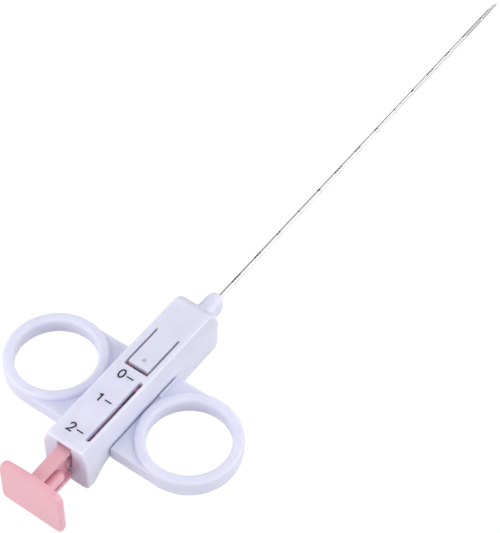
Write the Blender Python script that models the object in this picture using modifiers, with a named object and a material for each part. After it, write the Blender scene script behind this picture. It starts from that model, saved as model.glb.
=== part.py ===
"""Semi-automatic core biopsy needle: white two-ring handle, pink thumb plunger,
sprung cannula carriage and an 18 gauge needle set with a sampling notch.

Frame: +X runs along the needle to its tip, +Y to the left, +Z up.
The driving sizes are millimetres in the needle frame, whose origin is the point
on the needle's axis just ahead of the nose. Every object's origin is that point.
"""
import math

import bmesh
import bpy
import numpy as np

MM = 0.001
FIT = 0.3            # clearance between pieces that bear on one another
OVER = 0.6           # how far a cutter runs past the face it opens
LAP = 0.8            # how far the solids of one moulding run into each other
CHAMFER = 0.4        # small chamfer on turned ends

# Needle set
CANNULA_R = 0.6      # 18 gauge outside radius
CANNULA_BORE_R = 0.5
CANNULA_TIP_X = 143.0
CANNULA_GRIND = 0.7
STYLET_R = 0.44
STYLET_TIP_X = 147.4
BEVEL_LENGTH = 4.0
NOTCH_LENGTH = 16.5
NOTCH_DEPTH = 0.4
NOTCH_SLOPE = 0.5
POINT_T = 0.03       # steel left under the very tip
CANNULA_LIP = 0.02   # width of the cannula's ground front edge
SOCKET_DEPTH = 4.0   # length of stylet held in the plunger's rod
STROKE = 20.0        # travel of the plunger and of the cannula carriage

# Housing shell
HOUSING_REAR_X = -65.1
HOUSING_FRONT_X = -8.7
HOUSING_HALF_W = 7.0
HOUSING_TOP_Z = 7.99
HOUSING_BOTTOM_Z = -5.55
TOP_EDGE_R = 0.5
BOTTOM_EDGE_R = 1.2
TOP_HALF_W = 5.7    # the side walls lean in to this half width at the top
DRAFT_Z = 3.5       # height where the side walls begin to lean
REAR_PLAN_R = 0.5
FRONT_PLAN_R = 3.2
REAR_TOP_R = 0.9
FRONT_TOP_R = 5.0
WALL = 1.5
REAR_OPENING_TOP_Z = 7.1   # the stem's opening reaches up to the rounded top edge
TOP_WALL = 1.5
FRONT_WALL = 2.9
REAR_WALL = 1.6
RAIL_LEDGE_Z = 4.25  # top of the inner ledges that carry the plunger's arm
RAIL_LEDGE_H = 0.9
LEDGE_HALF_W = 4.25

# Nose, slim at the needle and flaring into the front wall
NOSE_FRONT_X = -0.7
NOSE_HALF_W = 2.2
NOSE_TOP_Z = 2.7
NOSE_BOTTOM_Z = -3.55
NOSE_SINK = 1.6      # how far it starts behind the front face
NOSE_FLARE_LENGTH = 6.0
NOSE_FLARE = 0.6
NOSE_FLARE_LOW = 1.8
NOSE_ROUND = 0.6     # corner radius as a share of the half width
NOSE_TIP_LENGTH = 3.0
NOSE_TIP_INSET = 1.2
NOSE_TIP_LOW_INSET = 1.6
NOSE_STATIONS = 5
NOSE_TIP_ANGLES = (0, 25, 50, 70, 90)

# Latch tongue, cut free on three sides in the top wall
TONGUE_TIP_X = -35.86
TONGUE_ROOT_X = -23.26
TONGUE_LEFT_Y = 2.86
TONGUE_RIGHT_Y = -3.39
TONGUE_SLOT = 0.7
TONGUE_END_SLOT = 1.3
HOOK_LENGTH = 1.4
HOOK_HALF_W = 0.9
HOOK_BOTTOM_Z = 5.2
HOOK_SLOPE = 0.6
DIMPLE_X = -33.46
DIMPLE_Y = -0.34
DIMPLE_R = 0.7
DIMPLE_DEPTH = 0.5

# Window beside the printed scale
WINDOW_FRONT_X = -39.26
WINDOW_REAR_X = -61.26
WINDOW_MID_Y = -4.14
WINDOW_W = 1.35

# Arched relief in the lower edge of the side walls, from the ring frame to the rear heel
HEEL_Z = -7.2
HEEL_EDGE_R = 1.5
ARCH_START = 0.2     # the arch begins to fall this far behind the frame
ARCH_TOP_Z = -2.15
ARCH_STEPS = 10

# Finger-ring frame
RING_X = -42.63
RING_Y = 21.45
RING_IN_R = 10.91
RING_OUT_R = 13.88
RING_TOP_Z = 2.98
RING_BOTTOM_Z = -3.1
RING_EDGE_R = 1.34   # lower outer edges
RING_OUT_TOP_R = 0.9
RING_IN_TOP = (1.0, 1.3)   # width and height of the inner upper round
RING_IN_LOW = (1.6, 3.5)   # width and height of the inner lower round
GUSSET_TOP_Z = 1.75  # flat plate between the ring and the housing
GUSSET_EDGE_R = 0.5
SEAM_EDGE_R = 0.15   # the plate's edge along the housing is nearly sharp
CORNER_STEPS = 7     # sweep steps from the ring's front to the plate's corner
SEAM_STEPS = 12
OUTER_STEPS = 30
RIB_FRONT_X = -29.6  # low locating rib beside the housing
RIB_REAR_X = -36.9
RIB_GAP = 0.1
RIB_W = 0.9
RIB_H = 0.35
SADDLE_TOP_Z = -2.8
SADDLE_BOTTOM_Z = -4.0
ROOT_TOP_Z = 1.25
ROOT_IN_Y = 4.25
NOTCH_MARGIN = 2.0   # the side rails overlap the wall notches by this much

# Lid that closes the underside
LID_TOP_Z = -4.3
LID_EDGE_R = 0.3

# Plunger
STEM_HALF_W = 1.9
STEM_REAR_HALF_W = 1.6
STEM_TOP_Z = 5.85
ARM_BOTTOM_Z = 4.55
STEM_WEB_HALF_W = 0.8
STEM_FOOT_HALF_W = 2.4
STEM_FOOT_TOP_Z = -2.85
STEM_FOOT_BOTTOM_Z = -4.05
PLATE_FRONT_X = -76.6
PLATE_T = 2.2
PLATE_HALF_W = 9.5
PLATE_TOP_Z = 8.75
PLATE_BOTTOM_Z = -7.25
PLATE_CROWN = 1.1
PLATE_CORNER_R = 2.6
PLATE_LOW_CORNER_R = 1.6
PLATE_EDGE_R = 0.6
BOSS_Y = 2.0
BOSS_Z = 1.25
BOSS_R = 1.55
BOSS_LENGTH = 8.0
ROD_R = 1.5
SLIDE_HALF_W = 5.05
SLIDE_REAR_X = -40.8
SLIDE_SLOT_HALF_W = 1.3
SLIDE_SLOT_WEB = 0.5  # material between the slot and the pull bar
POINTER_LENGTH = 1.0
POINTER_W = 1.1
POINTER_EDGE = 0.2
POINTER_TOP_Z = 6.15
PULL_BAR_T = 1.7
PULL_BAR_BOTTOM_Z = 2.85
PULL_BAR_STEP = 0.2  # the bar stays this far below the slide's top

# Cannula carriage
CARRIAGE_LENGTH = 7.4
CARRIAGE_HALF_W = 3.8
CARRIAGE_TOP_Z = 4.2
CARRIAGE_BOTTOM_Z = -2.45
CARRIAGE_EDGE_R = 0.6
LUG_HALF_W = 0.95
LUG_LENGTH = 5.4
LUG_SLOPE = 0.8
SPIGOT_R = 1.5
SPIGOT_LENGTH = 2.5

# Drive spring
SPRING_R = 2.15
SPRING_WIRE_R = 0.32
SPRING_TURNS = 21
SPRING_END_GAP = 0.12
SPRING_CLOSE_TURNS = 1   # close turns at each end
SPRING_TURN_STEPS = 12

# Sizes that follow from those above
CAVITY_FRONT_X = HOUSING_FRONT_X - FRONT_WALL
CAVITY_REAR_X = HOUSING_REAR_X + REAR_WALL
CAVITY_HALF_W = HOUSING_HALF_W - WALL
CAVITY_TOP_Z = HOUSING_TOP_Z - TOP_WALL
CAVITY_TOP_HALF_W = SLIDE_HALF_W + FIT
SIDE_LEAN = (HOUSING_HALF_W - TOP_HALF_W) / (HOUSING_TOP_Z - DRAFT_Z)
FRAME_FRONT_X = RING_X + RING_OUT_R
FRAME_REAR_X = RING_X - RING_OUT_R
FRAME_IN_Y = HOUSING_HALF_W + FIT
ROOT_FRONT_X = FRAME_FRONT_X - NOTCH_MARGIN
ROOT_REAR_X = FRAME_REAR_X + NOTCH_MARGIN
SLIDE_FRONT_X = CAVITY_FRONT_X - FIT
PULL_BAR_REAR_X = SLIDE_FRONT_X - PULL_BAR_T
CARRIAGE_FRONT_X = PULL_BAR_REAR_X - FIT
CARRIAGE_REAR_X = CARRIAGE_FRONT_X - CARRIAGE_LENGTH
LUG_TOP_Z = HOOK_BOTTOM_Z - FIT
ROD_FRONT_X = CARRIAGE_REAR_X - SPIGOT_LENGTH - STROKE - FIT
SLIDE_SLOT_REAR_X = CARRIAGE_FRONT_X - STROKE - LUG_LENGTH - LUG_SLOPE - FIT
STEM_SHOULDER_X = HOUSING_REAR_X - FIT
CANNULA_REAR_X = CARRIAGE_REAR_X - SPIGOT_LENGTH + FIT
STYLET_REAR_X = ROD_FRONT_X - SOCKET_DEPTH
STYLET_NOTCH_X = CANNULA_TIP_X - STROKE + FIT
SHIFT = ((PLATE_FRONT_X - PLATE_T + STYLET_TIP_X) / -2 * MM, 0.0, -PLATE_BOTTOM_Z * MM)


def clear_scene():
    """Remove every object and collection already in the file."""
    for obj in list(bpy.data.objects):
        bpy.data.objects.remove(obj, do_unlink=True)
    for coll in list(bpy.data.collections):
        bpy.data.collections.remove(coll)


def new_collection(name):
    coll = bpy.data.collections.new(name)
    bpy.context.scene.collection.children.link(coll)
    return coll


clear_scene()
PARTS = new_collection("biopsy_needle")
CUTTERS = new_collection("cutters")


def material(name, colour, roughness, metallic=0.0):
    """Principled material with one colour (linear RGB), roughness and metallic."""
    mat = bpy.data.materials.new(name)
    mat.use_nodes = True
    shader = mat.node_tree.nodes["Principled BSDF"]
    shader.inputs["Base Color"].default_value = (*colour, 1.0)
    shader.inputs["Roughness"].default_value = roughness
    shader.inputs["Metallic"].default_value = metallic
    return mat


WHITE = material("white_abs", (0.72, 0.71, 0.87), 0.38)
PINK = material("pink_abs", (0.84, 0.44, 0.52), 0.36)
NATURAL = material("natural_acetal", (0.80, 0.79, 0.74), 0.45)
STEEL = material("stainless_tube", (0.62, 0.62, 0.63), 0.22, 1.0)
BRIGHT_STEEL = material("stainless_rod", (0.66, 0.66, 0.67), 0.18, 1.0)
SPRING_STEEL = material("spring_wire", (0.50, 0.50, 0.52), 0.30, 1.0)


def mesh_object(name, verts, faces, mat=None):
    """Make an object from points in millimetres; without a material it is a cutter or an addend."""
    mesh = bpy.data.meshes.new(name)
    mesh.from_pydata([tuple(c * MM for c in v) for v in verts], [], faces)
    bm = bmesh.new()
    bm.from_mesh(mesh)
    bmesh.ops.remove_doubles(bm, verts=bm.verts, dist=1e-7)
    bmesh.ops.recalc_face_normals(bm, faces=bm.faces)
    bm.to_mesh(mesh)
    bm.free()
    obj = bpy.data.objects.new(name, mesh)
    obj.location = SHIFT
    if mat is None:
        CUTTERS.objects.link(obj)
        obj.hide_render = True
        obj.display_type = "WIRE"
    else:
        PARTS.objects.link(obj)
        mesh.materials.append(mat)
    return obj


def loft(name, sections, mat=None):
    """Skin a list of equal-length closed loops of (x, y, z) and cap both ends."""
    count = len(sections[0])
    verts = [p for loop in sections for p in loop]
    faces = []
    for s in range(len(sections) - 1):
        for i in range(count):
            j = (i + 1) % count
            faces.append((s * count + i, s * count + j, (s + 1) * count + j, (s + 1) * count + i))
    faces.append(tuple(range(count)))
    faces.append(tuple(range((len(sections) - 1) * count, len(sections) * count)))
    return mesh_object(name, verts, faces, mat)


def rounded_rect(a0, a1, b0, b1, r_low, r_high, steps=4):
    """Closed loop of (a, b) round a rectangle with rounded low and high corners."""
    loop = []
    for ca, cb, r, start in ((a1 - r_low, b0 + r_low, r_low, -90), (a1 - r_high, b1 - r_high, r_high, 0),
                             (a0 + r_high, b1 - r_high, r_high, 90), (a0 + r_low, b0 + r_low, r_low, 180)):
        for k in range(steps + 1):
            t = math.radians(start + 90 * k / steps)
            loop.append((ca + r * math.cos(t), cb + r * math.sin(t)))
    return loop


def prism_x(name, outline, x0, x1, mat=None):
    return loft(name, [[(x, y, z) for y, z in outline] for x in (x0, x1)], mat)


def prism_y(name, outline, y0, y1, mat=None):
    return loft(name, [[(x, y, z) for x, z in outline] for y in (y0, y1)], mat)


def prism_z(name, outline, z0, z1, mat=None):
    return loft(name, [[(x, y, z) for x, y in outline] for z in (z0, z1)], mat)


def box(name, xs, ys, zs, mat=None):
    outline = [(xs[0], ys[0]), (xs[1], ys[0]), (xs[1], ys[1]), (xs[0], ys[1])]
    return prism_z(name, outline, zs[0], zs[1], mat)


def circle(ca, cb, r, steps):
    return [(ca + r * math.cos(2 * math.pi * k / steps), cb + r * math.sin(2 * math.pi * k / steps))
            for k in range(steps)]


def revolve_x(name, profile, steps, mat=None, y=0.0, z=0.0):
    """Turn a closed (x, radius) profile about a line parallel to X through (y, z)."""
    count = len(profile)
    verts = []
    for k in range(steps):
        t = 2 * math.pi * k / steps
        verts += [(px, y + r * math.cos(t), z + r * math.sin(t)) for px, r in profile]
    faces = []
    for k in range(steps):
        n = (k + 1) % steps
        for i in range(count):
            j = (i + 1) % count
            if profile[i][1] == 0.0 and profile[j][1] == 0.0:
                continue
            quad = (k * count + i, k * count + j, n * count + j, n * count + i)
            faces.append(quad)
    return mesh_object(name, verts, faces, mat)


def boolean(target, tool, operation):
    mod = target.modifiers.new(tool.name, "BOOLEAN")
    mod.operation = operation
    mod.solver = "EXACT"
    mod.object = tool


def cut(target, *tools):
    for tool in tools:
        boolean(target, tool, "DIFFERENCE")


def join(target, *tools):
    for tool in tools:
        boolean(target, tool, "UNION")


def bevel(obj, width, segments=2, angle=40):
    mod = obj.modifiers.new("edge_rounding", "BEVEL")
    mod.width = width * MM
    mod.segments = segments
    mod.limit_method = "ANGLE"
    mod.angle_limit = math.radians(angle)
    return obj


def corner_inset(distance, radius):
    """How far a quarter round of this radius pulls the face in, at a distance from its end."""
    if distance >= radius:
        return 0.0
    return radius - math.sqrt(radius ** 2 - (radius - distance) ** 2)


# Housing: a cover with rounded top edges, open below and closed by the lid


def housing_sections():
    """Cross-sections of the cover from its rear face to its front face."""
    steps = 6
    rear = [REAR_TOP_R * (1 - math.cos(math.radians(90 * k / steps))) for k in range(steps + 1)]
    front = [FRONT_TOP_R * (1 - math.cos(math.radians(90 * k / steps))) for k in range(steps + 1)]
    stations = [HOUSING_REAR_X + d for d in rear] + [ROOT_REAR_X, ROOT_FRONT_X]
    stations += [HOUSING_FRONT_X - d for d in reversed(front)]
    sections = []
    for x in stations:
        to_rear = x - HOUSING_REAR_X
        to_front = HOUSING_FRONT_X - x
        half_w = HOUSING_HALF_W - corner_inset(to_rear, REAR_PLAN_R) - corner_inset(to_front, FRONT_PLAN_R)
        top = HOUSING_TOP_Z - corner_inset(to_rear, REAR_TOP_R) - corner_inset(to_front, FRONT_TOP_R)
        base, low_r = (HEEL_Z, HEEL_EDGE_R) if x <= ROOT_REAR_X else (HOUSING_BOTTOM_Z, BOTTOM_EDGE_R)
        bottom = base + corner_inset(to_rear, REAR_PLAN_R) + corner_inset(to_front, BOTTOM_EDGE_R)
        top_half_w = half_w - SIDE_LEAN * max(0.0, top - DRAFT_Z)
        lean_z = min(DRAFT_Z, top - 2 * TOP_EDGE_R)
        low_loop = rounded_rect(-half_w, half_w, bottom, top, low_r, TOP_EDGE_R, 5)
        top_loop = rounded_rect(-top_half_w, top_half_w, bottom, top, low_r, TOP_EDGE_R, 5)
        corner = len(low_loop) // 4
        loop = low_loop[:corner] + [(half_w, lean_z)] + top_loop[corner:3 * corner]
        loop += [(-half_w, lean_z)] + low_loop[3 * corner:]
        sections.append([(x, y, z) for y, z in loop])
    return sections


def nose_body():
    """Tapered nose: slim and upright at the needle, flaring into the front face below."""
    rows = []
    for k in range(NOSE_STATIONS + 1):
        t = k / NOSE_STATIONS
        widen = (1 - t) ** 2
        rows.append((HOUSING_FRONT_X - NOSE_SINK + t * NOSE_FLARE_LENGTH, NOSE_HALF_W + NOSE_FLARE * widen,
                     NOSE_BOTTOM_Z - NOSE_FLARE_LOW * widen, NOSE_TOP_Z + NOSE_FLARE * widen))
    for angle in NOSE_TIP_ANGLES:
        t = math.radians(angle)
        narrow = 1 - math.cos(t)
        rows.append((NOSE_FRONT_X + NOSE_TIP_LENGTH * (math.sin(t) - 1),
                     NOSE_HALF_W - NOSE_TIP_INSET * narrow,
                     NOSE_BOTTOM_Z + NOSE_TIP_LOW_INSET * narrow, NOSE_TOP_Z - NOSE_TIP_INSET * narrow))
    sections = []
    for x, half_w, low, high in rows:
        r = NOSE_ROUND * half_w
        sections.append([(x, y, z) for y, z in rounded_rect(-half_w, half_w, low, high, r, r, 4)])
    return loft("nose_tool", sections)


def stadium(x0, x1, y_mid, width, steps=6):
    """Closed (x, y) loop of a slot with round ends, running from x0 to x1."""
    r = width / 2
    loop = []
    for cx, start in ((x1 - r, -90), (x0 + r, 90)):
        for k in range(steps + 1):
            t = math.radians(start + 180 * k / steps)
            loop.append((cx + r * math.cos(t), y_mid + r * math.sin(t)))
    return loop


def build_housing():
    housing = loft("housing", housing_sections(), WHITE)
    join(housing, nose_body())
    low = HEEL_Z - OVER
    ledge_low = RAIL_LEDGE_Z - RAIL_LEDGE_H
    cavity_x = (CAVITY_REAR_X, CAVITY_FRONT_X)
    cut(housing,
        box("cavity_low_tool", cavity_x, (-CAVITY_HALF_W, CAVITY_HALF_W), (low, ledge_low)),
        box("cavity_mid_tool", cavity_x, (-LEDGE_HALF_W, LEDGE_HALF_W),
            (ledge_low - OVER, RAIL_LEDGE_Z + OVER)),
        box("cavity_top_tool", cavity_x, (-CAVITY_TOP_HALF_W, CAVITY_TOP_HALF_W),
            (RAIL_LEDGE_Z, CAVITY_TOP_Z)))

    # Slots that free the latch tongue, and the window beside the scale
    z_span = (CAVITY_TOP_Z - OVER, HOUSING_TOP_Z + OVER)
    left_mid = TONGUE_LEFT_Y + TONGUE_SLOT / 2
    right_mid = TONGUE_RIGHT_Y - TONGUE_SLOT / 2
    end_rear = TONGUE_TIP_X - TONGUE_END_SLOT
    cut(housing,
        prism_z("tongue_left_tool", stadium(end_rear, TONGUE_ROOT_X, left_mid, TONGUE_SLOT), *z_span),
        prism_z("tongue_right_tool", stadium(end_rear, TONGUE_ROOT_X, right_mid, TONGUE_SLOT), *z_span),
        box("tongue_end_tool", (end_rear, TONGUE_TIP_X), (right_mid, left_mid), z_span),
        prism_z("window_tool", stadium(WINDOW_REAR_X, WINDOW_FRONT_X, WINDOW_MID_Y, WINDOW_W), *z_span),
        prism_z("dimple_tool", circle(DIMPLE_X, DIMPLE_Y, DIMPLE_R, 20),
                HOUSING_TOP_Z - DIMPLE_DEPTH, HOUSING_TOP_Z + OVER))

    # Hook under the tongue's free end, sloped on its rear side
    hook = [(TONGUE_TIP_X, CAVITY_TOP_Z + OVER), (TONGUE_TIP_X, CAVITY_TOP_Z - FIT),
            (TONGUE_TIP_X + HOOK_SLOPE, HOOK_BOTTOM_Z), (TONGUE_TIP_X + HOOK_LENGTH, HOOK_BOTTOM_Z),
            (TONGUE_TIP_X + HOOK_LENGTH, CAVITY_TOP_Z + OVER)]
    join(housing, prism_y("hook_tool", hook, -HOOK_HALF_W, HOOK_HALF_W))

    # Opening in the rear wall for the stem and the rod
    stem_w = STEM_HALF_W + FIT
    cut(housing, box("stem_opening_tool", (HOUSING_REAR_X - OVER, CAVITY_REAR_X + OVER), (-stem_w, stem_w),
                     (-ROD_R - FIT, REAR_OPENING_TOP_Z)))

    # Needle bore through the front wall and the nose
    bore_r = CANNULA_R + FIT
    bore = [(CAVITY_FRONT_X - OVER, 0.0), (CAVITY_FRONT_X - OVER, bore_r), (OVER, bore_r), (OVER, 0.0)]
    cut(housing, revolve_x("nose_bore_tool", bore, 24))

    # Notches in the lower side walls, which drop over the roots of the ring frame
    for side, sign in (("left", 1), ("right", -1)):
        ys = sorted((sign * (CAVITY_HALF_W - OVER), sign * (HOUSING_HALF_W + OVER)))
        cut(housing, box("notch_" + side + "_tool", (ROOT_REAR_X - FIT, ROOT_FRONT_X + FIT), ys,
                         (low, ROOT_TOP_Z + FIT)))
        arch = [(ROOT_REAR_X, low), (ROOT_REAR_X, ARCH_TOP_Z)]
        arch_start = FRAME_REAR_X - ARCH_START
        for k in range(ARCH_STEPS + 1):
            t = k / ARCH_STEPS
            arch.append((arch_start + t * (HOUSING_REAR_X - OVER - arch_start),
                         HEEL_Z + (ARCH_TOP_Z - HEEL_Z) * (1 + math.cos(math.pi * t)) / 2))
        arch.append((HOUSING_REAR_X - OVER, low))
        cut(housing, prism_y("arch_" + side + "_tool", arch, *ys))
    return housing


# Ring frame: two finger rings and their arms, tied by a saddle under the mechanism


def quarter(centre_r, centre_z, width, height, start, steps):
    """Quarter ellipse of (radius, z) points, beginning at an angle in degrees."""
    angles = [math.radians(start + 90 * k / steps) for k in range(steps + 1)]
    return [(centre_r + width * math.cos(t), centre_z + height * math.sin(t)) for t in angles]


def ring_section(reach, stretch, edge_r):
    """Section of the ring along one radius, with the plate beside it out to the given reach."""
    lip = min(edge_r * stretch, reach - RING_OUT_R)
    heel = RING_EDGE_R * stretch
    in_top_w, in_top_h = RING_IN_TOP
    in_low_w, in_low_h = RING_IN_LOW
    return (quarter(RING_IN_R + in_low_w, RING_BOTTOM_Z + in_low_h, in_low_w, in_low_h, 180, 5)
            + quarter(reach - heel, RING_BOTTOM_Z + RING_EDGE_R, heel, RING_EDGE_R, 270, 3)
            + quarter(reach - lip, GUSSET_TOP_Z - lip / stretch, lip, lip / stretch, 0, 2)
            + [(RING_OUT_R, GUSSET_TOP_Z)]
            + quarter(RING_OUT_R - RING_OUT_TOP_R, RING_TOP_Z - RING_OUT_TOP_R, RING_OUT_TOP_R,
                      RING_OUT_TOP_R, 0, 3)
            + quarter(RING_IN_R + in_top_w, RING_TOP_Z - in_top_h, in_top_w, in_top_h, 90, 4))


def ring_body(name, sign):
    """One finger ring and its plate: a section swept round the ring's axis."""
    depth = RING_Y - FRAME_IN_Y
    corner = math.atan2(depth, RING_OUT_R)
    spans = ((0, corner, CORNER_STEPS), (corner, math.pi - corner, SEAM_STEPS),
             (math.pi - corner, math.pi, CORNER_STEPS), (math.pi, 2 * math.pi, OUTER_STEPS))
    angles = [start + (end - start) * k / steps for start, end, steps in spans for k in range(steps)]
    sections = []
    for angle in angles:
        along = abs(math.cos(angle))
        inward = math.sin(angle)
        if inward <= 0:
            loop = ring_section(RING_OUT_R, 1.0, GUSSET_EDGE_R)
        elif corner <= angle <= math.pi - corner:
            loop = ring_section(depth / inward, 1 / inward, SEAM_EDGE_R)
        else:
            loop = ring_section(RING_OUT_R / along, 1 / along, GUSSET_EDGE_R)
        sections.append([(RING_X + r * math.cos(angle), sign * (RING_Y - r * inward), z) for r, z in loop])
    count = len(sections[0])
    verts = [p for loop in sections for p in loop]
    faces = []
    for s in range(len(sections)):
        n = (s + 1) % len(sections)
        for i in range(count):
            j = (i + 1) % count
            faces.append((s * count + i, s * count + j, n * count + j, n * count + i))
    return mesh_object(name, verts, faces)


def build_ring_frame():
    """The saddle and its roots first, then each ring with its plate and locating rib."""
    frame = box("ring_frame", (ROOT_REAR_X, ROOT_FRONT_X), (-FRAME_IN_Y - LAP, FRAME_IN_Y + LAP),
                (SADDLE_BOTTOM_Z, ROOT_TOP_Z), WHITE)
    cut(frame, box("saddle_channel_tool", (ROOT_REAR_X - OVER, ROOT_FRONT_X + OVER), (-ROOT_IN_Y, ROOT_IN_Y),
                   (SADDLE_TOP_Z, ROOT_TOP_Z + OVER)))
    for side, sign in (("left", 1), ("right", -1)):
        rib_y = sorted((sign * (FRAME_IN_Y + RIB_GAP), sign * (FRAME_IN_Y + RIB_W)))
        join(frame, ring_body("ring_" + side + "_tool", sign),
             box("rib_" + side + "_tool", (RIB_REAR_X, RIB_FRONT_X), rib_y,
                 (GUSSET_TOP_Z - LAP / 2, GUSSET_TOP_Z + RIB_H)))
    return frame


def build_lid():
    """Flat lid between the walls, with an ear under each notch."""
    half_w = CAVITY_HALF_W - FIT
    lid = box("base_lid", (CAVITY_REAR_X + FIT, CAVITY_FRONT_X - FIT), (-half_w, half_w),
              (HOUSING_BOTTOM_Z, LID_TOP_Z), WHITE)
    join(lid, box("lid_ears_tool", (ROOT_REAR_X, ROOT_FRONT_X), (-HOUSING_HALF_W, HOUSING_HALF_W),
                  (HOUSING_BOTTOM_Z, LID_TOP_Z)))
    bevel(lid, LID_EDGE_R, 1)
    return lid


# Plunger: thumb plate, short deep stem, centre rod and a flat slide above the spring


def plate_outline():
    """Thumb plate seen from behind: straight sides, round corners, a crowned top edge."""
    corner_z = PLATE_TOP_Z - PLATE_CROWN
    loop = rounded_rect(-PLATE_HALF_W, PLATE_HALF_W, PLATE_BOTTOM_Z, corner_z,
                        PLATE_LOW_CORNER_R, PLATE_CORNER_R, 5)
    flat = PLATE_HALF_W - PLATE_CORNER_R
    crowned = []
    for y, z in loop:
        lift = PLATE_CROWN * (1 - (y / PLATE_HALF_W) ** 2) if z > 0 else 0.0
        crowned.append((y, z + lift))
    # Extra points along the crown, between the two upper corners
    index = next(i for i, (y, z) in enumerate(loop) if z > 0 > y)
    extra = [(y, corner_z + PLATE_CROWN * (1 - (y / PLATE_HALF_W) ** 2))
             for y in np.linspace(flat, -flat, 8)[1:-1]]
    return crowned[:index] + extra + crowned[index:]


def build_plunger():
    plate = prism_x("plunger", plate_outline(), PLATE_FRONT_X - PLATE_T, PLATE_FRONT_X, PINK)
    bevel(plate, PLATE_EDGE_R, 2, 50)
    inside = PLATE_FRONT_X - PLATE_T / 2
    stem_x = (inside, STEM_SHOULDER_X)
    web_top = (STEM_TOP_Z + ARM_BOTTOM_Z) / 2
    stem_side = [(inside, STEM_REAR_HALF_W), (STEM_SHOULDER_X, STEM_HALF_W),
                 (SLIDE_REAR_X + LAP, STEM_HALF_W)]
    stem_plan = [(x, -y) for x, y in stem_side] + stem_side[::-1]
    join(plate,
         prism_z("stem_top_tool", stem_plan, ARM_BOTTOM_Z, STEM_TOP_Z),
         box("stem_web_tool", stem_x, (-STEM_WEB_HALF_W, STEM_WEB_HALF_W),
             (STEM_FOOT_TOP_Z - LAP / 2, web_top)),
         box("stem_foot_tool", stem_x, (-STEM_FOOT_HALF_W, STEM_FOOT_HALF_W),
             (STEM_FOOT_BOTTOM_Z, STEM_FOOT_TOP_Z)))

    # Round stiffening ribs beside the web, with domed ends
    for side, sign in (("left", 1), ("right", -1)):
        tip = PLATE_FRONT_X + BOSS_LENGTH
        dome = [(tip - BOSS_R * (1 - math.cos(t)), BOSS_R * math.sin(t))
                for t in (math.radians(15 * k) for k in range(7))]
        profile = [(inside, 0.0)] + dome[:0:-1] + [(tip, 0.0)]
        profile.insert(1, (inside, BOSS_R))
        join(plate, revolve_x("boss_" + side + "_tool", profile, 16, None, sign * BOSS_Y, BOSS_Z))

    # Centre rod, bored at its front for the stylet
    rod_rear = STEM_SHOULDER_X - LAP
    rod = [(rod_rear, 0.0), (rod_rear, ROD_R), (ROD_FRONT_X - CHAMFER, ROD_R),
           (ROD_FRONT_X, ROD_R - CHAMFER), (ROD_FRONT_X, 0.0)]
    join(plate, revolve_x("rod_tool", rod, 20))
    socket_r = STYLET_R + FIT
    socket = [(STYLET_REAR_X - FIT, 0.0), (STYLET_REAR_X - FIT, socket_r), (ROD_FRONT_X + OVER, socket_r),
              (ROD_FRONT_X + OVER, 0.0)]
    cut(plate, revolve_x("socket_tool", socket, 20))

    # Flat slide with its slot, pull bar and the pointer under the window
    join(plate, box("slide_tool", (SLIDE_REAR_X, SLIDE_FRONT_X), (-SLIDE_HALF_W, SLIDE_HALF_W),
                    (ARM_BOTTOM_Z, STEM_TOP_Z)))
    cut(plate, box("slide_slot_tool", (SLIDE_SLOT_REAR_X, PULL_BAR_REAR_X - SLIDE_SLOT_WEB),
                   (-SLIDE_SLOT_HALF_W, SLIDE_SLOT_HALF_W), (ARM_BOTTOM_Z - OVER, STEM_TOP_Z + OVER)))
    join(plate,
         box("pull_bar_tool", (PULL_BAR_REAR_X, SLIDE_FRONT_X), (-STEM_HALF_W, STEM_HALF_W),
             (PULL_BAR_BOTTOM_Z, STEM_TOP_Z - PULL_BAR_STEP)),
         box("pointer_tool", (SLIDE_REAR_X, SLIDE_REAR_X + POINTER_LENGTH),
             (POINTER_EDGE - SLIDE_HALF_W, POINTER_EDGE + POINTER_W - SLIDE_HALF_W),
             (STEM_TOP_Z - LAP / 2, POINTER_TOP_Z)))
    return plate


# Moving needle set and its spring


def build_carriage():
    """Block that holds the cannula, with a latch lug above and a spring spigot behind."""
    block = box("cannula_carriage", (CARRIAGE_REAR_X, CARRIAGE_FRONT_X), (-CARRIAGE_HALF_W, CARRIAGE_HALF_W),
                (CARRIAGE_BOTTOM_Z, CARRIAGE_TOP_Z), NATURAL)
    bevel(block, CARRIAGE_EDGE_R)
    lug_rear = CARRIAGE_FRONT_X - LUG_LENGTH
    lug_front = CARRIAGE_FRONT_X - LAP
    lug = [(lug_rear - LUG_SLOPE, CARRIAGE_TOP_Z - LAP / 2), (lug_front, CARRIAGE_TOP_Z - LAP / 2),
           (lug_front, LUG_TOP_Z), (lug_rear, LUG_TOP_Z)]
    spigot_rear = CARRIAGE_REAR_X - SPIGOT_LENGTH
    spigot = [(spigot_rear, 0.0), (spigot_rear, SPIGOT_R - CHAMFER), (spigot_rear + CHAMFER, SPIGOT_R),
              (CARRIAGE_REAR_X + LAP, SPIGOT_R), (CARRIAGE_REAR_X + LAP, 0.0)]
    join(block, prism_y("lug_tool", lug, -LUG_HALF_W, LUG_HALF_W), revolve_x("spigot_tool", spigot, 24))
    bore_r = CANNULA_R + FIT
    bore = [(spigot_rear - OVER, 0.0), (spigot_rear - OVER, bore_r), (CARRIAGE_FRONT_X + OVER, bore_r),
            (CARRIAGE_FRONT_X + OVER, 0.0)]
    cut(block, revolve_x("carriage_bore_tool", bore, 24))
    return block


def build_cannula():
    """Steel tube, ground to a short cone at its front edge."""
    profile = [(CANNULA_REAR_X, CANNULA_BORE_R), (CANNULA_REAR_X, CANNULA_R),
               (CANNULA_TIP_X - CANNULA_GRIND, CANNULA_R), (CANNULA_TIP_X, CANNULA_BORE_R + CANNULA_LIP),
               (CANNULA_TIP_X, CANNULA_BORE_R)]
    return revolve_x("cannula", profile, 24, STEEL)


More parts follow.
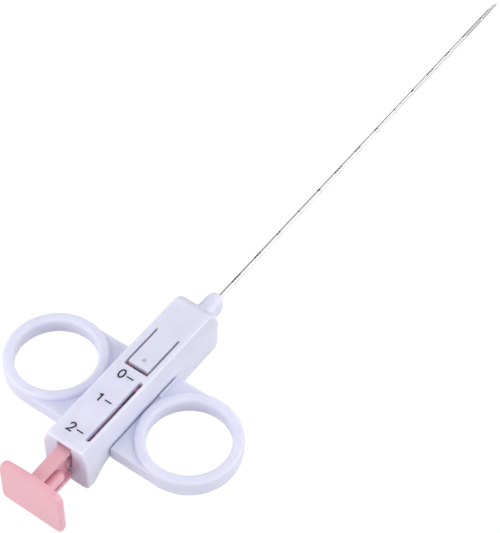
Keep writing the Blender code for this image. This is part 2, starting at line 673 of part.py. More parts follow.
def build_stylet():
    """Steel rod with the sampling notch in its upper side and a slanted, pointed tip."""
    profile = [(STYLET_REAR_X, 0.0), (STYLET_REAR_X, STYLET_R), (STYLET_TIP_X, STYLET_R), (STYLET_TIP_X, 0.0)]
    rod = revolve_x("stylet", profile, 24, BRIGHT_STEEL)
    floor = STYLET_R - NOTCH_DEPTH
    start = STYLET_NOTCH_X
    end = STYLET_NOTCH_X + NOTCH_LENGTH
    notch = [(start, STYLET_R + OVER), (start + NOTCH_SLOPE, floor), (end - NOTCH_SLOPE, floor),
             (end, STYLET_R + OVER)]
    half_w = STYLET_R + OVER
    low = POINT_T - STYLET_R
    slant = [(STYLET_TIP_X - BEVEL_LENGTH, STYLET_R), (STYLET_TIP_X, low),
             (STYLET_TIP_X + OVER, low), (STYLET_TIP_X + OVER, STYLET_R + OVER),
             (STYLET_TIP_X - BEVEL_LENGTH, STYLET_R + OVER)]
    cut(rod, prism_y("notch_tool", notch, -half_w, half_w), prism_y("slant_tool", slant, -half_w, half_w))
    return rod


def build_spring():
    """Compression spring between the carriage and the rear wall, with close end turns."""
    front = CARRIAGE_REAR_X - FIT - SPRING_WIRE_R
    rear = CAVITY_REAR_X + FIT + SPRING_WIRE_R
    close = 2 * SPRING_WIRE_R + SPRING_END_GAP
    open_turns = SPRING_TURNS - 2 * SPRING_CLOSE_TURNS
    open_pitch = (front - rear - 2 * SPRING_CLOSE_TURNS * close) / open_turns
    sections = []
    for k in range(SPRING_TURNS * SPRING_TURN_STEPS + 1):
        turn = k / SPRING_TURN_STEPS
        if turn < SPRING_CLOSE_TURNS:
            x = rear + turn * close
        elif turn > SPRING_TURNS - SPRING_CLOSE_TURNS:
            x = front - (SPRING_TURNS - turn) * close
        else:
            x = rear + SPRING_CLOSE_TURNS * close + (turn - SPRING_CLOSE_TURNS) * open_pitch
        t = 2 * math.pi * turn
        radial = np.array((0.0, math.cos(t), math.sin(t)))
        centre = np.array((x, 0.0, 0.0)) + SPRING_R * radial
        loop = []
        for i in range(6):
            a = 2 * math.pi * i / 6
            offset = SPRING_WIRE_R * (math.cos(a) * radial + math.sin(a) * np.array((1.0, 0.0, 0.0)))
            loop.append(tuple(centre + offset))
        sections.append(loop)
    return loft("drive_spring", sections, SPRING_STEEL)


build_housing()
build_ring_frame()
build_lid()
build_plunger()
build_carriage()
build_cannula()
build_stylet()
build_spring()
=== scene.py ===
"""Core biopsy needle: finishes, printed marks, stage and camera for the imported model.

Laid out as an add-on and run as a script. Every size is a real one, in metres
unless its name says mm. The model lies along X, and its needle points to +X.
"""
import math

import bmesh
import bpy
from bpy.props import (FloatProperty, FloatVectorProperty, IntProperty,
                       PointerProperty, StringProperty)
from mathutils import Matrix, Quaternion, Vector


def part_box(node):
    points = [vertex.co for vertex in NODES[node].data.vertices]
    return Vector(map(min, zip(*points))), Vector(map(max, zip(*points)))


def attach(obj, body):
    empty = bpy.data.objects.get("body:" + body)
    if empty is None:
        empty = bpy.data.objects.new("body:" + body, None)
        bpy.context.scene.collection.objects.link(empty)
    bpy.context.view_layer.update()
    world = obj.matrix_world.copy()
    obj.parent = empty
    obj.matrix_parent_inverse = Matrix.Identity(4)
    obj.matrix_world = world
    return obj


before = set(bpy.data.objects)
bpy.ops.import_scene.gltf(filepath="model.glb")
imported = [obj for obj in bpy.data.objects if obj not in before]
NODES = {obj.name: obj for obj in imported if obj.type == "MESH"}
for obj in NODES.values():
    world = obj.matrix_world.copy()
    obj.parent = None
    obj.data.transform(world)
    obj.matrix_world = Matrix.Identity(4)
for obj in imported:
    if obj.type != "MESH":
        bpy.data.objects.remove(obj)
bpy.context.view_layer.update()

bl_info = {
    "name": "Core Biopsy Needle",
    "version": (1, 0, 0),
    "blender": (4, 5, 0),
    "location": "3D View > Sidebar > Biopsy Needle",
    "description": "Finishes, prints and lights a two-ring core biopsy needle",
    "category": "Object",
}

MM = 0.001


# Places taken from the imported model

NEEDLE_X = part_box("housing")[1][0]        # where the needle leaves the nose
NEEDLE_Z = (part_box("cannula")[0][2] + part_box("cannula")[1][2]) / 2
TIP_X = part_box("stylet")[1][0]
CANNULA_R = (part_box("cannula")[1][1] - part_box("cannula")[0][1]) / 2
TOP_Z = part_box("housing")[1][2]


# Fixed values of the finishes

WELD_DISTANCE = 1e-6                 # joins the doubled corners of the facets
SHARP_ANGLE = math.radians(32)       # edges that bend less than this are shaded smooth
ROUNDED_ANGLE = math.radians(35)     # edges that bend more than this get the small rounding
GLOSS_AT = (0.3, 0.7)                # part of a pattern over which the gloss varies

CLOUD_MM = 7.0                       # flow clouds in a moulding's colour
CLOUD_GLOSS = (-0.04, 0.05)          # how far its roughness varies with them
PEEL_MM = 0.9                        # orange peel on a moulding
PEEL_STRENGTH = 0.05
PEEL_DEPTH = 0.05 * MM
SCATTER_MM = 2.5                     # how deep light goes into a moulding
SCATTER_RGB = (1.0, 0.8, 0.75)       # share of that depth for red, green and blue

STREAK_SHADE = 0.96                  # draw lines on steel, against its own colour
STREAK_GLOSS = (0.0, 0.08)           # how far its roughness varies with them
STREAK_STRENGTH = 0.04
STREAK_DEPTH = 0.01 * MM
DARKER_ZONE = 20 * MM                  # length of the darker zone behind the needle's tip
DARKER_FADE = MM                       # half the length over which it begins
DARKER_SHADE = 0.72                    # what is left of the steel's colour there

PATCH_MM = 0.5                       # patches of thinner ink
THIN_INK = 1.8                       # how much paler those are
INK_ROUGHNESS = (0.5, 0.65)

RING_PAINTED_HIGHLIGHT_SIDE = (0.0, -0.72, 0.69)   # side of the tube on which the etched rings carry a painted highlight
RING_PAINTED_HIGHLIGHT_AT = (0.74, 0.89)           # where that strip begins and is full, as a cosine
RING_PAINTED_HIGHLIGHT_GREY = 0.85
RING_SINK = 0.01 * MM                # how far a ring's inner face lies in the steel
RING_STEPS = 24                      # facets round a ring

LEAST_MITRE = 0.5                    # keeps the corners of a printed stroke from reaching far out


# Fixed values of the stage

SENSOR_MM = 36.0
CLIP = (0.02, 20.0)                  # nearest and farthest point that the camera sees

FLOOR_HALF = 3.0
FLOOR_GREY = 0.60                    # what the floor throws back on the model
FLOOR_GLOW = 1.09                    # how bright it is where it is seen directly
FLOOR_GLOW_SHARE = 0.90              # how much of that look is glow

SOFTBOXES = (                        # name, place, side length, setting with the power
    ("key_softbox", (0.20, -0.85, 0.40), 1.0, "key"),
    ("top_softbox", (0.02, 0.03, 0.90), 0.45, "top"),
    ("fill_softbox", (-0.80, 0.42, 0.28), 0.7, "fill"),
    ("front_softbox", (0.66, 0.30, 0.50), 0.5, "front"),
)

WALL_GLOW_SIZE = (20 * MM, 9 * MM)
WALL_GLOW_PLACE = (NEEDLE_X - 50.8 * MM, 0.0, TOP_Z - 1.7 * MM)
WALL_GLOW_COLOUR = (0.82, 0.92, 1.0)

CARD_X = (NEEDLE_X + 2 * MM, TIP_X + 160 * MM)
CARD_YZ = ((1.5 * MM, 0.6 * MM), (70 * MM, 0.6 * MM), (70 * MM, 150 * MM))
CARD_GREY = 0.31


# Sizes and colours a user would change


class NeedleMarkSettings(bpy.types.PropertyGroup):
    """Etched depth marks round the cannula, counted back from the needle's tip."""
    spacing: FloatProperty(name="Spacing", description="Distance between groups of bands",
                           default=10 * MM, unit="LENGTH")
    groups: IntProperty(name="Groups", description="Number of groups along the needle", default=14)
    cycle: IntProperty(name="Cycle", description="Every such group is one wide band", default=5)
    band: FloatProperty(name="Band", description="Length of a narrow band",
                        default=0.5 * MM, unit="LENGTH")
    wide_band: FloatProperty(name="Wide band", description="Length of a wide band",
                             default=1.1 * MM, unit="LENGTH")
    pitch: FloatProperty(name="Pitch", description="Distance between the bands of a group",
                         default=0.98 * MM, unit="LENGTH")
    film: FloatProperty(name="Film", description="Height of a ring on the steel",
                        default=0.008 * MM, unit="LENGTH")


class ScalePrintSettings(bpy.types.PropertyGroup):
    """Printed 0-1-2 scale beside the window on the handle's top face."""
    stroke: FloatProperty(name="Stroke", description="Width of a digit's line",
                          default=0.46 * MM, unit="LENGTH")
    tick_stroke: FloatProperty(name="Tick stroke", description="Width of a tick",
                               default=0.38 * MM, unit="LENGTH")
    digit_height: FloatProperty(name="Digit height", description="Height of a printed digit",
                                default=2.55 * MM, unit="LENGTH")
    digit_width: FloatProperty(name="Digit width", description="Width of a printed digit",
                               default=1.5 * MM, unit="LENGTH")
    tick_length: FloatProperty(name="Tick length", description="Length of a printed tick",
                               default=2.1 * MM, unit="LENGTH")
    film: FloatProperty(name="Film", description="Height of the ink on the moulding",
                        default=0.012 * MM, unit="LENGTH")


class FinishSettings(bpy.types.PropertyGroup):
    """Colours of the mouldings, the steel and the ink, as sRGB hex values."""
    white: StringProperty(name="Handle", description="Moulded handle colour", default="DDDEF2")
    pink: StringProperty(name="Plunger", description="Moulded plunger colour", default="E6ACBA")
    natural: StringProperty(name="Carriage", description="Moulded carriage colour",
                            default="E6E3DA")
    steel: StringProperty(name="Cannula", description="Drawn steel colour", default="D9D9DB")
    ground: StringProperty(name="Stylet", description="Ground steel colour", default="A2A2A6")
    wire: StringProperty(name="Spring", description="Spring wire colour", default="D8CED2")
    ink: StringProperty(name="Ink", description="Printing ink colour", default="262632")
    edge_radius: FloatProperty(name="Edge radius", description="Rounding of plain moulded edges",
                               default=0.18 * MM, unit="LENGTH")


class StageSettings(bpy.types.PropertyGroup):
    """Camera, floor and soft studio lights."""
    eye: FloatVectorProperty(name="Camera place", description="Where the camera stands",
                             default=(-0.264580, -0.162016, 0.361433), unit="LENGTH")
    aim: FloatVectorProperty(name="Camera aim", description="Point in the middle of the frame",
                             default=(-0.020600, 0.0, 0.006620), unit="LENGTH")
    roll: FloatProperty(name="Camera roll", description="Turn about the line of sight",
                        default=math.radians(2.483), subtype="ANGLE")
    lens: FloatProperty(name="Lens", description="Focal length in mm on a 36 mm long side",
                        default=113.80)
    sky: FloatProperty(name="Sky", description="Strength of the even light from all round",
                       default=0.53)
    key: FloatProperty(name="Key light", description="Power of the large softbox, in watts",
                       default=6.0)
    top: FloatProperty(name="Top light", description="Power of the overhead softbox, in watts",
                       default=0.4)
    fill: FloatProperty(name="Fill light", default=5.0,
                        description="Power of the softbox behind the handle, in watts")
    glow: FloatProperty(name="Wall glow", default=0.0005,
                        description="Power of the light through the walls, in watts")
    front: FloatProperty(name="Front light", default=1.5,
                         description="Power of the softbox beyond the needle, in watts")


# Material helpers


def linear(code):
    """Turn an sRGB hex value into linear RGBA."""
    channels = []
    for i in (0, 2, 4):
        c = int(code[i:i + 2], 16) / 255
        channels.append(c / 12.92 if c <= 0.04045 else ((c + 0.055) / 1.055) ** 2.4)
    return (*channels, 1.0)


def shade(colour, factor):
    """Darken or lighten a colour."""
    return tuple(c * factor for c in colour[:3]) + (1.0,)


def grey(value):
    """Neutral colour, or a plain value where a ramp needs a colour."""
    return (value, value, value, 1.0)


def node(tree, kind, settings=None, links=None):
    """Add a node: settings name its properties or input sockets, links feed its inputs."""
    made = tree.nodes.new(kind)
    for key, value in (settings or {}).items():
        if isinstance(key, int) or key in made.inputs:
            made.inputs[key].default_value = value
        else:
            setattr(made, key, value)
    for key, source in (links or {}).items():
        tree.links.new(source, made.inputs[key])
    return made


def new_material(name, **shader_settings):
    """Empty material with a Principled shader; returns material, tree, shader."""
    mat = bpy.data.materials.new(name)
    mat.use_nodes = True
    tree = mat.node_tree
    tree.nodes.clear()
    shader = node(tree, "ShaderNodeBsdfPrincipled", shader_settings)
    node(tree, "ShaderNodeOutputMaterial", None, {"Surface": shader.outputs["BSDF"]})
    return mat, tree, shader


def object_place(tree):
    """Places on the model, in metres."""
    return node(tree, "ShaderNodeTexCoord").outputs["Object"]


def ramp(tree, source, low, high, at=(0.35, 0.65)):
    """Map a pattern between two values or colours."""
    made = node(tree, "ShaderNodeValToRGB", None, {"Fac": source})
    first, last = made.color_ramp.elements
    first.position, last.position = at
    first.color, last.color = low, high
    return made.outputs["Color"]


def raise_pattern(tree, shader, pattern, strength, depth):
    """Let a fine pattern stand up a little from the surface."""
    bump = node(tree, "ShaderNodeBump", {"Strength": strength, "Distance": depth},
                {"Height": pattern})
    tree.links.new(bump.outputs["Normal"], shader.inputs["Normal"])


def moulded(name, code, roughness, cloud=0.025, scatter=0.0):
    """Injection-moulded plastic: faint flow clouds, a soft orange-peel surface, uneven gloss."""
    base = linear(code)
    mat, tree, shader = new_material(name, IOR=1.53)
    place = object_place(tree)
    clouds = node(tree, "ShaderNodeTexNoise",
                  {"Scale": 1 / (CLOUD_MM * MM), "Detail": 3.0, "Roughness": 0.55},
                  {"Vector": place}).outputs["Fac"]
    colour = ramp(tree, clouds, shade(base, 1 - cloud), shade(base, 1 + cloud))
    tree.links.new(colour, shader.inputs["Base Color"])
    gloss = ramp(tree, clouds, *(grey(roughness + swing) for swing in CLOUD_GLOSS), GLOSS_AT)
    tree.links.new(gloss, shader.inputs["Roughness"])
    skin = node(tree, "ShaderNodeTexNoise", {"Scale": 1 / (PEEL_MM * MM), "Detail": 2.0},
                {"Vector": place}).outputs["Fac"]
    raise_pattern(tree, shader, skin, PEEL_STRENGTH, PEEL_DEPTH)
    if scatter:
        shader.inputs["Subsurface Weight"].default_value = scatter
        shader.inputs["Subsurface Radius"].default_value = SCATTER_RGB
        shader.inputs["Subsurface Scale"].default_value = SCATTER_MM * MM
    return mat


def steel(name, code, roughness, streak_mm=(9.0, 0.25), darker_from=None):
    """Drawn or ground steel: fine streaks along X vary the gloss and the normal a little.

    Streaks are streak_mm long and wide. Beyond the place darker_from the steel is greyer.
    """
    base = linear(code)
    mat, tree, shader = new_material(name, Metallic=1.0)
    place = object_place(tree)
    along, across = (1 / (size * MM) for size in streak_mm)
    stretched = node(tree, "ShaderNodeMapping", {"Scale": (along, across, across)},
                     {"Vector": place})
    streaks = node(tree, "ShaderNodeTexNoise", {"Scale": 1.0, "Detail": 3.0},
                   {"Vector": stretched.outputs["Vector"]}).outputs["Fac"]
    colour = ramp(tree, streaks, shade(base, STREAK_SHADE), base)
    if darker_from is not None:
        x = node(tree, "ShaderNodeSeparateXYZ", None, {0: place}).outputs["X"]
        zone = node(tree, "ShaderNodeMapRange",
                    {"From Min": darker_from - DARKER_FADE, "From Max": darker_from + DARKER_FADE,
                     "To Min": 1.0, "To Max": DARKER_SHADE}, {"Value": x})
        # Sockets 0, 6, 7 and output 2 are a colour mix's factor, A, B and result
        # Darkens the steel's colour over the zone behind the tip
        dull = node(tree, "ShaderNodeMix", {"data_type": "RGBA", "blend_type": "MULTIPLY", 0: 1.0},
                    {6: colour, 7: zone.outputs[0]})
        colour = dull.outputs[2]
    tree.links.new(colour, shader.inputs["Base Color"])
    gloss = ramp(tree, streaks, *(grey(roughness + swing) for swing in STREAK_GLOSS), GLOSS_AT)
    tree.links.new(gloss, shader.inputs["Roughness"])
    raise_pattern(tree, shader, streaks, STREAK_STRENGTH, STREAK_DEPTH)
    return mat


def ink(name, code):
    """Pad-printed ink: matt, nearly black, thinner and greyer in small patches."""
    base = linear(code)
    mat, tree, shader = new_material(name, IOR=1.3)
    patches = node(tree, "ShaderNodeTexNoise", {"Scale": 1 / (PATCH_MM * MM), "Detail": 2.0},
                   {"Vector": object_place(tree)}).outputs["Fac"]
    colour = ramp(tree, patches, base, shade(base, THIN_INK))
    tree.links.new(colour, shader.inputs["Base Color"])
    gloss = ramp(tree, patches, *(grey(value) for value in INK_ROUGHNESS))
    tree.links.new(gloss, shader.inputs["Roughness"])
    return mat


def etched_rings_with_painted_highlight(name, code):
    """Etched and blackened steel, with a painted highlight: a bright strip along one side of the
    tube.

    The strip is a painted reflection of the softbox that the tube mirrors. It is laid into the
    colour at a fixed place round the tube.
    """
    mat, tree, shader = new_material(name, Roughness=0.2, IOR=1.05)
    from_axis = node(tree, "ShaderNodeVectorMath",
                     {"operation": "SUBTRACT", 1: (0.0, 0.0, NEEDLE_Z)},
                     {0: object_place(tree)})
    # Painted highlight: how far each point faces the side where the bright strip is painted
    lit = node(tree, "ShaderNodeVectorMath",
               {"operation": "DOT_PRODUCT", 1: tuple(v / CANNULA_R for v in RING_PAINTED_HIGHLIGHT_SIDE)},
               {0: from_axis.outputs["Vector"]}).outputs["Value"]
    colour = ramp(tree, lit, linear(code), grey(RING_PAINTED_HIGHLIGHT_GREY), RING_PAINTED_HIGHLIGHT_AT)
    tree.links.new(colour, shader.inputs["Base Color"])
    # The painted highlight strip is also metallic, so it mirrors its surroundings like steel
    painted_highlight_metallic = ramp(tree, lit, grey(0.0), grey(1.0), RING_PAINTED_HIGHLIGHT_AT)
    tree.links.new(painted_highlight_metallic, shader.inputs["Metallic"])
    return mat


# Mesh helpers


def smooth_group():
    """Node group that shades faces smooth and keeps edges over SHARP_ANGLE sharp."""
    group = bpy.data.node_groups.new("smooth_by_angle", "GeometryNodeTree")
    for way in ("INPUT", "OUTPUT"):
        group.interface.new_socket("Geometry", in_out=way, socket_type="NodeSocketGeometry")
    start = node(group, "NodeGroupInput")
    plain = node(group, "GeometryNodeRemoveAttribute", {"Name": "custom_normal"},
                 {"Geometry": start.outputs[0]})
    faces = node(group, "GeometryNodeSetShadeSmooth", {"domain": "FACE", "Shade Smooth": True},
                 {"Geometry": plain.outputs[0]})
    angle = node(group, "GeometryNodeInputMeshEdgeAngle")
    soft = node(group, "FunctionNodeCompare", {"operation": "LESS_THAN", 1: SHARP_ANGLE},
                {0: angle.outputs["Unsigned Angle"]})
    edges = node(group, "GeometryNodeSetShadeSmooth", {"domain": "EDGE"},
                 {"Geometry": faces.outputs[0], "Shade Smooth": soft.outputs[0]})
    node(group, "NodeGroupOutput", None, {0: edges.outputs[0]})
    return group


def finish_surface(obj, mat, edge=0.0):
    """Give a CAD node its material, welded smooth shading and, if asked, rounded edges."""
    obj.data.materials.clear()
    obj.data.materials.append(mat)
    weld = obj.modifiers.new("weld", "WELD")
    weld.merge_threshold = WELD_DISTANCE
    if edge:
        rounding = obj.modifiers.new("edge_rounding", "BEVEL")
        rounding.width = edge
        rounding.segments = 2
        rounding.limit_method = "ANGLE"
        rounding.angle_limit = ROUNDED_ANGLE
    smooth = obj.modifiers.new("smooth_shading", "NODES")
    smooth.node_group = bpy.data.node_groups.get("smooth_by_angle") or smooth_group()
    flat = obj.modifiers.new("flat_faces_stay_flat", "WEIGHTED_NORMAL")
    flat.keep_sharp = True


def mesh_piece(name, bm, mat, body):
    """Turn a bmesh into a piece that rides on a body."""
    mesh = bpy.data.meshes.new(name)
    bmesh.ops.recalc_face_normals(bm, faces=bm.faces)
    bm.to_mesh(mesh)
    bm.free()
    mesh.materials.append(mat)
    obj = bpy.data.objects.new(name, mesh)
    bpy.context.scene.collection.objects.link(obj)
    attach(obj, body)


def skin_loops(bm, loops, nexts, smooth=False):
    """Join each loop of vertices to the next one with faces."""
    for a, b in zip(loops, nexts):
        for k in range(len(a)):
            n = (k + 1) % len(a)
            face = bm.faces.new((a[k], a[n], b[n], b[k]))
            face.smooth = smooth


def add_sleeve(bm, x0, x1, inner, outer):
    """Thin closed ring round the needle's axis, from x0 to x1."""
    angles = [2 * math.pi * k / RING_STEPS for k in range(RING_STEPS)]
    loops = []
    for x, r in ((x0, inner), (x0, outer), (x1, outer), (x1, inner)):
        loops.append([bm.verts.new((x, r * math.cos(a), NEEDLE_Z + r * math.sin(a)))
                      for a in angles])
    skin_loops(bm, loops, loops[1:] + loops[:1], smooth=True)


def add_stroke(bm, points, width, base_z, film, closed=False):
    """Flat printed line of constant width along (x, y) points, with square ends."""
    count = len(points)
    loops = []
    for i, p in enumerate(points):
        legs = []
        if closed or i:
            legs.append((p - points[i - 1]).normalized())
        if closed or i < count - 1:
            legs.append((points[(i + 1) % count] - p).normalized())
        along = sum(legs, Vector((0, 0))).normalized()
        side = Vector((-along.y, along.x))
        mitre = side.dot(Vector((-legs[0].y, legs[0].x)))
        reach = width / 2 / max(LEAST_MITRE, mitre)
        left, right = p + side * reach, p - side * reach
        loops.append([bm.verts.new((q.x, q.y, z)) for q, z in
                      ((left, base_z), (right, base_z),
                       (right, base_z + film), (left, base_z + film))])
    skin_loops(bm, loops, loops[1:] + (loops[:1] if closed else []))
    if not closed:
        bm.faces.new(loops[0])
        bm.faces.new(loops[-1])


def arc(middle, radii, angles):
    """Points on an ellipse, at angles in degrees."""
    return [(middle[0] + radii[0] * math.cos(math.radians(a)),
             middle[1] + radii[1] * math.sin(math.radians(a))) for a in angles]


def digit_paths(digit):
    """Centre lines of 0, 1 or 2 in a box one unit wide and high, as (right, up) and closed."""
    if digit == 0:
        return [(arc((0.5, 0.5), (0.5, 0.5), range(0, 360, 20)), True)]
    if digit == 1:
        stem = [(0.62, 1.0), (0.62, 0.0)]
        flag = [(0.66, 0.95), (0.44, 0.83), (0.1, 0.78)]
        return [(stem, False), (flag, False)]
    bow = arc((0.5, 0.72), (-0.46, 0.28), range(0, 200, 20))
    foot = [(0.66, 0.36), (0.02, 0.0), (1.0, 0.0)]
    return [(bow + foot, False)]


# Operators: camera and stage


class NEEDLE_OT_camera(bpy.types.Operator):
    """Place the camera at the viewing angle of the reference picture"""
    bl_idname = "biopsy_needle.camera"
    bl_label = "Camera"

    def execute(self, context):
        opts = context.scene.needle_stage
        data = bpy.data.cameras.new("camera")
        data.lens = opts.lens
        data.sensor_width = SENSOR_MM
        data.clip_start, data.clip_end = CLIP
        cam = bpy.data.objects.new("camera", data)
        context.scene.collection.objects.link(cam)
        eye = Vector(opts.eye)
        sight = Vector(opts.aim) - eye
        turn = Quaternion((0, 0, 1), opts.roll)
        cam.location = eye
        cam.rotation_mode = "QUATERNION"
        cam.rotation_quaternion = sight.to_track_quat("-Z", "Y") @ turn
        context.scene.camera = cam
        return {"FINISHED"}


class NEEDLE_OT_stage(bpy.types.Operator):
    """Lay the pale floor and set the soft lights"""
    bl_idname = "biopsy_needle.stage"
    bl_label = "Stage"

    def execute(self, context):
        opts = context.scene.needle_stage
        context.scene.view_settings.view_transform = "Standard"
        self.floor(context)
        self.world(context, opts.sky)
        for name, place, size, setting in SOFTBOXES:
            self.softbox(context, name, place, size, getattr(opts, setting))
        self.wall_glow(context, opts.glow)
        self.card(context)
        return {"FINISHED"}

    def stage_mesh(self, context, name, verts, faces, mat):
        """Make an object of the stage, which is no part of the model."""
        mesh = bpy.data.meshes.new(name)
        mesh.from_pydata(verts, [], faces)
        mesh.materials.append(mat)
        obj = bpy.data.objects.new(name, mesh)
        context.scene.collection.objects.link(obj)
        return obj

    def floor(self, context):
        """Matt pale floor; straight to the eye and in reflections it is close to white."""
        mat = bpy.data.materials.new("matt_paper_floor")
        mat.use_nodes = True
        tree = mat.node_tree
        tree.nodes.clear()
        matt = node(tree, "ShaderNodeBsdfDiffuse", {"Color": grey(FLOOR_GREY)})
        glow = node(tree, "ShaderNodeEmission", {"Color": grey(1.0), "Strength": FLOOR_GLOW})
        share = node(tree, "ShaderNodeMath", {"operation": "MULTIPLY", 1: FLOOR_GLOW_SHARE},
                     {0: self.seen_directly(tree)})
        mix = node(tree, "ShaderNodeMixShader", None,
                   {0: share.outputs[0], 1: matt.outputs[0], 2: glow.outputs[0]})
        node(tree, "ShaderNodeOutputMaterial", None, {"Surface": mix.outputs[0]})
        corners = [(x * FLOOR_HALF, y * FLOOR_HALF, 0)
                   for x, y in ((-1, -1), (1, -1), (1, 1), (-1, 1))]
        self.stage_mesh(context, "floor", corners, [(0, 1, 2, 3)], mat)

    def seen_directly(self, tree):
        """1 for camera, glossy and transmission rays, 0 for the light that bounces."""
        path = node(tree, "ShaderNodeLightPath")
        pair = node(tree, "ShaderNodeMath", {"operation": "MAXIMUM"},
                    {0: path.outputs["Is Camera Ray"], 1: path.outputs["Is Glossy Ray"]})
        return node(tree, "ShaderNodeMath", {"operation": "MAXIMUM"},
                    {0: pair.outputs[0], 1: path.outputs["Is Transmission Ray"]}).outputs[0]

    def world(self, context, strength):
        """Even light from all round, which looks white where it is seen directly."""
        world = bpy.data.worlds.new("even_sky")
        world.use_nodes = True
        tree = world.node_tree
        tree.nodes.clear()
        light = node(tree, "ShaderNodeBackground", {"Color": grey(1.0), "Strength": strength})
        white = node(tree, "ShaderNodeBackground", {"Color": grey(1.0), "Strength": 1.0})
        mix = node(tree, "ShaderNodeMixShader", None,
                   {0: self.seen_directly(tree), 1: light.outputs[0], 2: white.outputs[0]})
        node(tree, "ShaderNodeOutputWorld", None, {"Surface": mix.outputs[0]})
        context.scene.world = world

    def softbox(self, context, name, place, size, power):
        """Square light that faces the model."""
        light = bpy.data.lights.new(name, "AREA")
        light.shape = "SQUARE"
        light.size = size
        light.energy = power
        obj = bpy.data.objects.new(name, light)
        obj.location = place
        obj.rotation_mode = "QUATERNION"
        obj.rotation_quaternion = (-Vector(place)).to_track_quat("-Z", "Y")
        context.scene.collection.objects.link(obj)

    def wall_glow(self, context, power):
        """Daylight that seeps through the thin white walls round the spring."""
        light = bpy.data.lights.new("wall_glow", "AREA")
        light.shape = "RECTANGLE"
        light.size, light.size_y = WALL_GLOW_SIZE
        light.energy = power
        light.color = WALL_GLOW_COLOUR
        obj = bpy.data.objects.new("wall_glow", light)
        obj.location = WALL_GLOW_PLACE
        obj.visible_camera = False
        context.scene.collection.objects.link(obj)

    def card(self, context):
        """Grey card beside the needle, seen only in the steel: it draws the needle's far edge."""
        mat, _, shader = new_material("dull_grey_card", Roughness=0.9)
        shader.inputs["Base Color"].default_value = grey(0.0)
        shader.inputs["Emission Color"].default_value = grey(1.0)
        shader.inputs["Emission Strength"].default_value = CARD_GREY
        verts = [(x, y, z) for x in CARD_X for y, z in CARD_YZ]
        obj = self.stage_mesh(context, "needle_flag", verts, [(0, 1, 4, 3), (1, 2, 5, 4)], mat)
        obj.visible_camera = False
        obj.visible_diffuse = False
        obj.visible_shadow = False
        obj.visible_transmission = False


# Operators: finishes and print


class NEEDLE_OT_handle(bpy.types.Operator):
    """Finish the white mouldings: housing, underside lid and ring frame"""
    bl_idname = "biopsy_needle.handle"
    bl_label = "Handle mouldings"

    def execute(self, context):
        opts = context.scene.needle_finish
        # Injection-moulded ABS, satin: a soft broad sheen on a faintly lavender white
        white = moulded("moulded_abs_white", opts.white, roughness=0.36, scatter=0.7)
        for name in ("housing", "base_lid", "ring_frame"):
            finish_surface(NODES[name], white, opts.edge_radius if name == "housing" else 0.0)
        return {"FINISHED"}


class NEEDLE_OT_plunger(bpy.types.Operator):
    """Finish the pink thumb plunger"""
    bl_idname = "biopsy_needle.plunger"
    bl_label = "Plunger"

    def execute(self, context):
        opts = context.scene.needle_finish
        # Injection-moulded ABS, coloured right through: slightly glossier than the handle
        pink = moulded("moulded_abs_pink", opts.pink, roughness=0.33, cloud=0.03, scatter=0.15)
        finish_surface(NODES["plunger"], pink, opts.edge_radius)
        return {"FINISHED"}


class NEEDLE_OT_needle_set(bpy.types.Operator):
    """Finish the cannula, the stylet and the carriage inside the handle"""
    bl_idname = "biopsy_needle.needle_set"
    bl_label = "Needle set"

    def execute(self, context):
        opts = context.scene.needle_finish
        # Cold-drawn stainless tube, polished: mirror-like with faint draw lines along it, and
        # darker grey over a zone behind the tip
        tube = steel("drawn_stainless_tube", opts.steel, roughness=0.14,
                     darker_from=TIP_X - DARKER_ZONE)
        finish_surface(NODES["cannula"], tube)
        # Centreless-ground stainless rod: a little duller where it was ground
        rod = steel("ground_stainless_rod", opts.ground, roughness=0.22, streak_mm=(0.4, 0.2))
        finish_surface(NODES["stylet"], rod)
        # Moulded acetal, uncoloured: milky and slippery, with a low even sheen
        acetal = moulded("moulded_acetal_natural", opts.natural, roughness=0.42)
        finish_surface(NODES["cannula_carriage"], acetal)
        return {"FINISHED"}


class NEEDLE_OT_spring(bpy.types.Operator):
    """Finish the drive spring"""
    bl_idname = "biopsy_needle.spring"
    bl_label = "Drive spring"

    def execute(self, context):
        opts = context.scene.needle_finish
        # Coiled stainless spring wire: grey drawn skin with tooling streaks
        wire = steel("coiled_spring_wire", opts.wire, roughness=0.5, streak_mm=(0.5, 0.3))
        finish_surface(NODES["drive_spring"], wire)
        return {"FINISHED"}


class NEEDLE_OT_depth_marks(bpy.types.Operator):
    """Put the centimetre marks round the cannula"""
    bl_idname = "biopsy_needle.depth_marks"
    bl_label = "Depth marks"

    def execute(self, context):
        opts = context.scene.needle_marks
        bm = bmesh.new()
        for n in range(1, opts.groups + 1):
            middle = TIP_X - n * opts.spacing
            count = n % opts.cycle
            if count == 0:
                bands = [(middle, opts.wide_band)]
            else:
                first = middle - (count - 1) * opts.pitch / 2
                bands = [(first + k * opts.pitch, opts.band) for k in range(count)]
            for x, length in bands:
                add_sleeve(bm, x - length / 2, x + length / 2,
                           CANNULA_R - RING_SINK, CANNULA_R + opts.film)
        # Etched and blackened rings on the polished tube, with a painted highlight along one side
        rings = etched_rings_with_painted_highlight("etched_tube_rings", context.scene.needle_finish.ink)
        mesh_piece("depth_marks", bm, rings, "cannula_set")
        return {"FINISHED"}


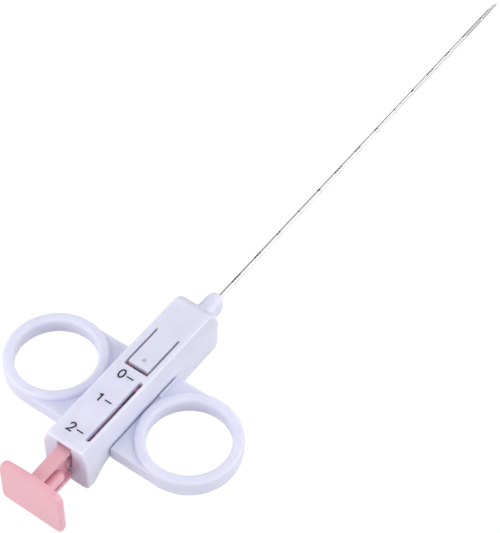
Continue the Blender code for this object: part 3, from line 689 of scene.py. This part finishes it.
class NEEDLE_OT_scale_print(bpy.types.Operator):
    """Print the 0-1-2 scale on the top face"""
    bl_idname = "biopsy_needle.scale_print"
    bl_label = "Scale print"

    # In mm: each digit and how far behind the nose it stands, and the two rows' middle lines
    PLACES_MM = ((0, 39.41), (1, 48.31), (2, 59.36))
    DIGIT_Y_MM = 1.61
    TICK_Y_MM = -0.99

    def execute(self, context):
        opts = context.scene.needle_print
        digit_y = self.DIGIT_Y_MM * MM
        tick_y = self.TICK_Y_MM * MM
        half = opts.tick_length / 2
        bm = bmesh.new()
        for digit, behind in self.PLACES_MM:
            x = NEEDLE_X - behind * MM
            tick = [Vector((x, tick_y + half)), Vector((x, tick_y - half))]
            add_stroke(bm, tick, opts.tick_stroke, TOP_Z, opts.film)
            for path, closed in digit_paths(digit):
                line = [Vector((x + (up - 0.5) * opts.digit_height,
                                digit_y - (right - 0.5) * opts.digit_width))
                        for right, up in path]
                add_stroke(bm, line, opts.stroke, TOP_Z, opts.film, closed)
        # Pad-printed ink, matt black
        black = ink("pad_printed_ink", context.scene.needle_finish.ink)
        mesh_piece("scale_print", bm, black, "handle")
        return {"FINISHED"}


STEPS = (NEEDLE_OT_camera, NEEDLE_OT_stage, NEEDLE_OT_handle, NEEDLE_OT_plunger,
         NEEDLE_OT_needle_set, NEEDLE_OT_spring, NEEDLE_OT_depth_marks, NEEDLE_OT_scale_print)
GROUPS = (("needle_marks", NeedleMarkSettings), ("needle_print", ScalePrintSettings),
          ("needle_finish", FinishSettings), ("needle_stage", StageSettings))


class NEEDLE_PT_panel(bpy.types.Panel):
    """Steps and settings of the biopsy needle"""
    bl_idname = "NEEDLE_PT_panel"
    bl_label = "Biopsy Needle"
    bl_space_type = "VIEW_3D"
    bl_region_type = "UI"
    bl_category = "Biopsy Needle"

    def draw(self, context):
        for step in STEPS:
            self.layout.operator(step.bl_idname)
        for name, group in GROUPS:
            box = self.layout.box()
            for prop in group.__annotations__:
                box.prop(getattr(context.scene, name), prop)


CLASSES = tuple(group for _, group in GROUPS) + STEPS + (NEEDLE_PT_panel,)


def register():
    for cls in CLASSES:
        bpy.utils.register_class(cls)
    for name, group in GROUPS:
        setattr(bpy.types.Scene, name, PointerProperty(type=group))


def unregister():
    for name, _ in GROUPS:
        delattr(bpy.types.Scene, name)
    for cls in reversed(CLASSES):
        bpy.utils.unregister_class(cls)


def main():
    register()
    for step in STEPS:
        section, action = step.bl_idname.split(".")
        getattr(getattr(bpy.ops, section), action)()


if __name__ == "__main__":
    main()
